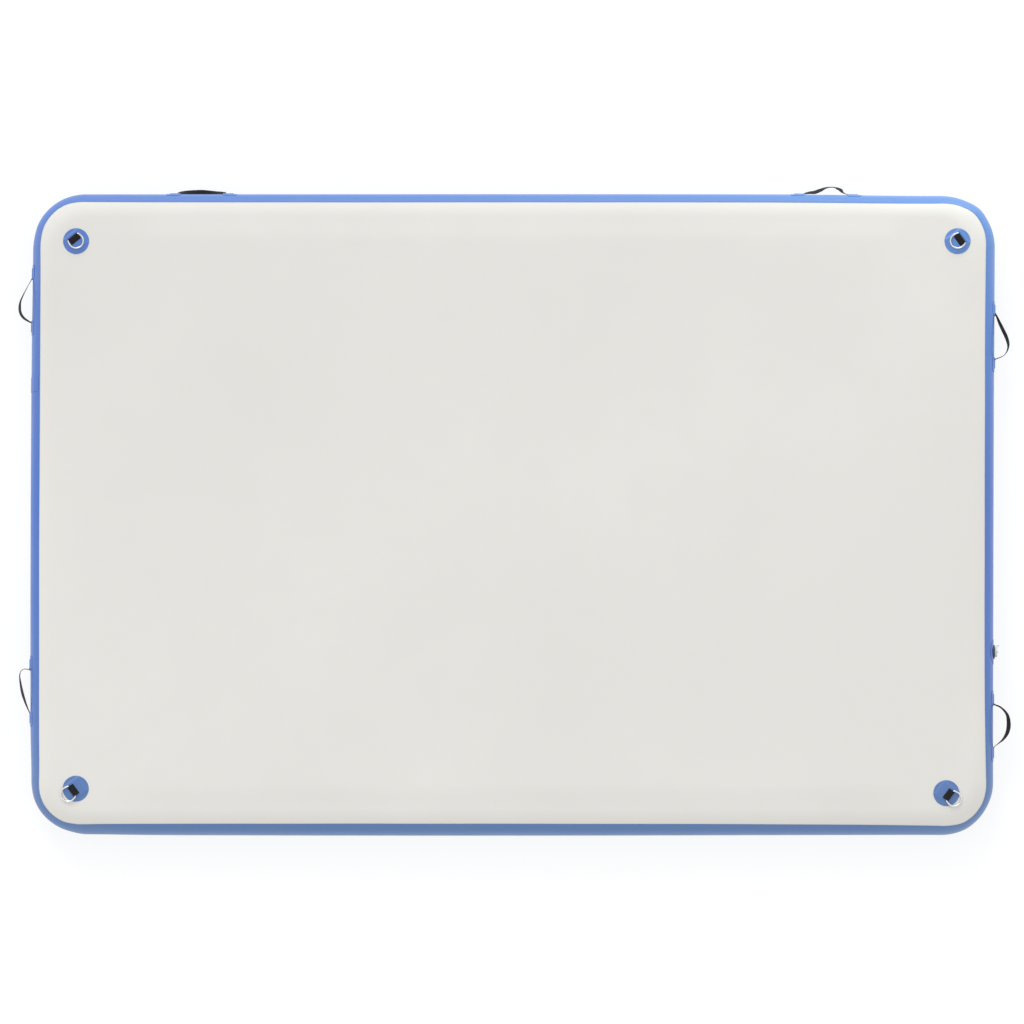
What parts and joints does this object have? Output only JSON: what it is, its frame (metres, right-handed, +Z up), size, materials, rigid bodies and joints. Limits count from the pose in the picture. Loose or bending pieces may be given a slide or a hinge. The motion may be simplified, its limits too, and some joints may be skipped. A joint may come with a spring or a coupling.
{
  "type": "air mat",
  "caption": "Inflatable drop-stitch mat: flat grey deck, blue lapped side band, D-rings on corner patches, webbing handles and a side air valve.",
  "frame": {"origin": "centre of the flat underside, on the floor", "axes": "+X along the 3 m side towards the valve, +Y along the 2 m side towards the wall with handles, +Z up out of the deck"},
  "size_m": [3.1036, 2.0307, 0.163],
  "materials": {
    "deck_pvc": "semi-matte PVC-coated cloth",
    "band_pvc": "satin PVC-coated cloth",
    "drop_stitch_cloth": "uncoated polyester",
    "wall_pvc": "matte PVC-coated cloth",
    "tape_pvc": "matte PVC tape",
    "webbing": "woven black webbing",
    "ring_steel": "polished stainless steel",
    "spring_steel": "drawn wire",
    "valve_nylon": "moulded, dark grey",
    "stem_nylon": "moulded, pale",
    "seal_rubber": "matte",
    "cap_plastic": "pale moulded plastic"
  },
  "bodies": {
    "mat": {"band_splice": "band_pvc", "bottom_skin": "deck_pvc", "cap_tether": "cap_plastic", "drop_stitch_fabric": "drop_stitch_cloth", "handle_back_left_anchor_1": "band_pvc", "handle_back_left_anchor_2": "band_pvc", "handle_back_right_anchor_1": "band_pvc", "handle_back_right_anchor_2": "band_pvc", "handle_left_back_anchor_1": "band_pvc", "handle_left_back_anchor_2": "band_pvc", "handle_left_front_anchor_1": "band_pvc", "handle_left_front_anchor_2": "band_pvc", "handle_right_back_anchor_1": "band_pvc", "handle_right_back_anchor_2": "band_pvc", "handle_right_front_anchor_1": "band_pvc", "handle_right_front_anchor_2": "band_pvc", "inner_seam_tape_lower": "tape_pvc", "inner_seam_tape_upper": "tape_pvc", "inner_side_wall": "wall_pvc", "outer_side_band": "band_pvc", "ring_back_left_cover": "band_pvc", "ring_back_left_tab": "webbing", "ring_back_left_underlay": "tape_pvc", "ring_back_right_cover": "band_pvc", "ring_back_right_tab": "webbing", "ring_back_right_underlay": "tape_pvc", "ring_front_left_cover": "band_pvc", "ring_front_left_tab": "webbing", "ring_front_left_underlay": "tape_pvc", "ring_front_right_cover": "band_pvc", "ring_front_right_tab": "webbing", "ring_front_right_underlay": "tape_pvc", "top_skin": "deck_pvc", "valve_body": "valve_nylon", "valve_nut": "valve_nylon", "valve_patch": "band_pvc", "valve_spring": "spring_steel"},
    "ring_back_left_d_ring": {"ring_back_left_d_ring": "ring_steel"},
    "ring_back_right_d_ring": {"ring_back_right_d_ring": "ring_steel"},
    "ring_front_left_d_ring": {"ring_front_left_d_ring": "ring_steel"},
    "ring_front_right_d_ring": {"ring_front_right_d_ring": "ring_steel"},
    "handle_left_back_strap": {"handle_left_back_strap": "webbing"},
    "handle_left_front_strap": {"handle_left_front_strap": "webbing"},
    "handle_right_back_strap": {"handle_right_back_strap": "webbing"},
    "handle_right_front_strap": {"handle_right_front_strap": "webbing"},
    "handle_back_left_strap": {"handle_back_left_strap": "webbing"},
    "handle_back_right_strap": {"handle_back_right_strap": "webbing"},
    "cap_seal": {"cap_gasket": "seal_rubber"},
    "valve_cap": {"valve_cap": "cap_plastic"},
    "valve_stem": {"valve_stem": "stem_nylon", "valve_diaphragm": "seal_rubber"}
  },
  "joints": [
    {"name": "ring_back_left_swing", "type": "hinge", "parent": "mat", "child": "ring_back_left_d_ring", "pos_m": [-1.36857, 0.86081, 0.1588], "axis": [-0.7771, -0.6293, 0], "range_deg": [0, 190.5]},
    {"name": "ring_back_right_swing", "type": "hinge", "parent": "mat", "child": "ring_back_right_d_ring", "pos_m": [1.40138, 0.85783, 0.1588], "axis": [-0.5807, 0.8141, 0], "range_deg": [0, 190.5]},
    {"name": "ring_front_left_swing", "type": "hinge", "parent": "mat", "child": "ring_front_left_d_ring", "pos_m": [-1.3703, -0.87093, 0.1588], "axis": [-0.5878, 0.809, 0], "range_deg": [0, 190.5]},
    {"name": "ring_front_right_swing", "type": "hinge", "parent": "mat", "child": "ring_front_right_d_ring", "pos_m": [1.36414, -0.88515, 0.1588], "axis": [-0.6018, -0.7986, 0], "range_deg": [0, 190.5]},
    {"name": "handle_left_back_swing", "type": "hinge", "parent": "mat", "child": "handle_left_back_strap", "pos_m": [-1.5112, 0.67, 0.075], "axis": [0, 1, 0], "range_deg": [-85, 85]},
    {"name": "handle_left_front_swing", "type": "hinge", "parent": "mat", "child": "handle_left_front_strap", "pos_m": [-1.5112, -0.553, 0.075], "axis": [0, 1, 0], "range_deg": [-85, 85]},
    {"name": "handle_right_back_swing", "type": "hinge", "parent": "mat", "child": "handle_right_back_strap", "pos_m": [1.5112, 0.556, 0.075], "axis": [0, -1, 0], "range_deg": [-85, 85]},
    {"name": "handle_right_front_swing", "type": "hinge", "parent": "mat", "child": "handle_right_front_strap", "pos_m": [1.5112, -0.662, 0.075], "axis": [0, -1, 0], "range_deg": [-85, 85]},
    {"name": "handle_back_left_swing", "type": "hinge", "parent": "mat", "child": "handle_back_left_strap", "pos_m": [-0.968, 1.0112, 0.075], "axis": [1, 0, 0], "range_deg": [0, 170]},
    {"name": "handle_back_right_swing", "type": "hinge", "parent": "mat", "child": "handle_back_right_strap", "pos_m": [0.98, 1.0112, 0.075], "axis": [1, 0, 0], "range_deg": [-14, 155]},
    {"name": "cap_lift", "type": "slide", "parent": "mat", "child": "cap_seal", "axis": [1, 0, 0], "range_m": [0, 0.03]},
    {"name": "cap_turn", "type": "hinge", "parent": "cap_seal", "child": "valve_cap", "pos_m": [1.5, -0.43, 0.075], "axis": [1, 0, 0], "range_deg": [0, 90]},
    {"name": "stem_push", "type": "slide", "parent": "mat", "child": "valve_stem", "axis": [-1, 0, 0], "range_m": [0, 0.006], "stiffness_N_per_m": 400, "deforming": ["valve_spring"]}
  ]
}
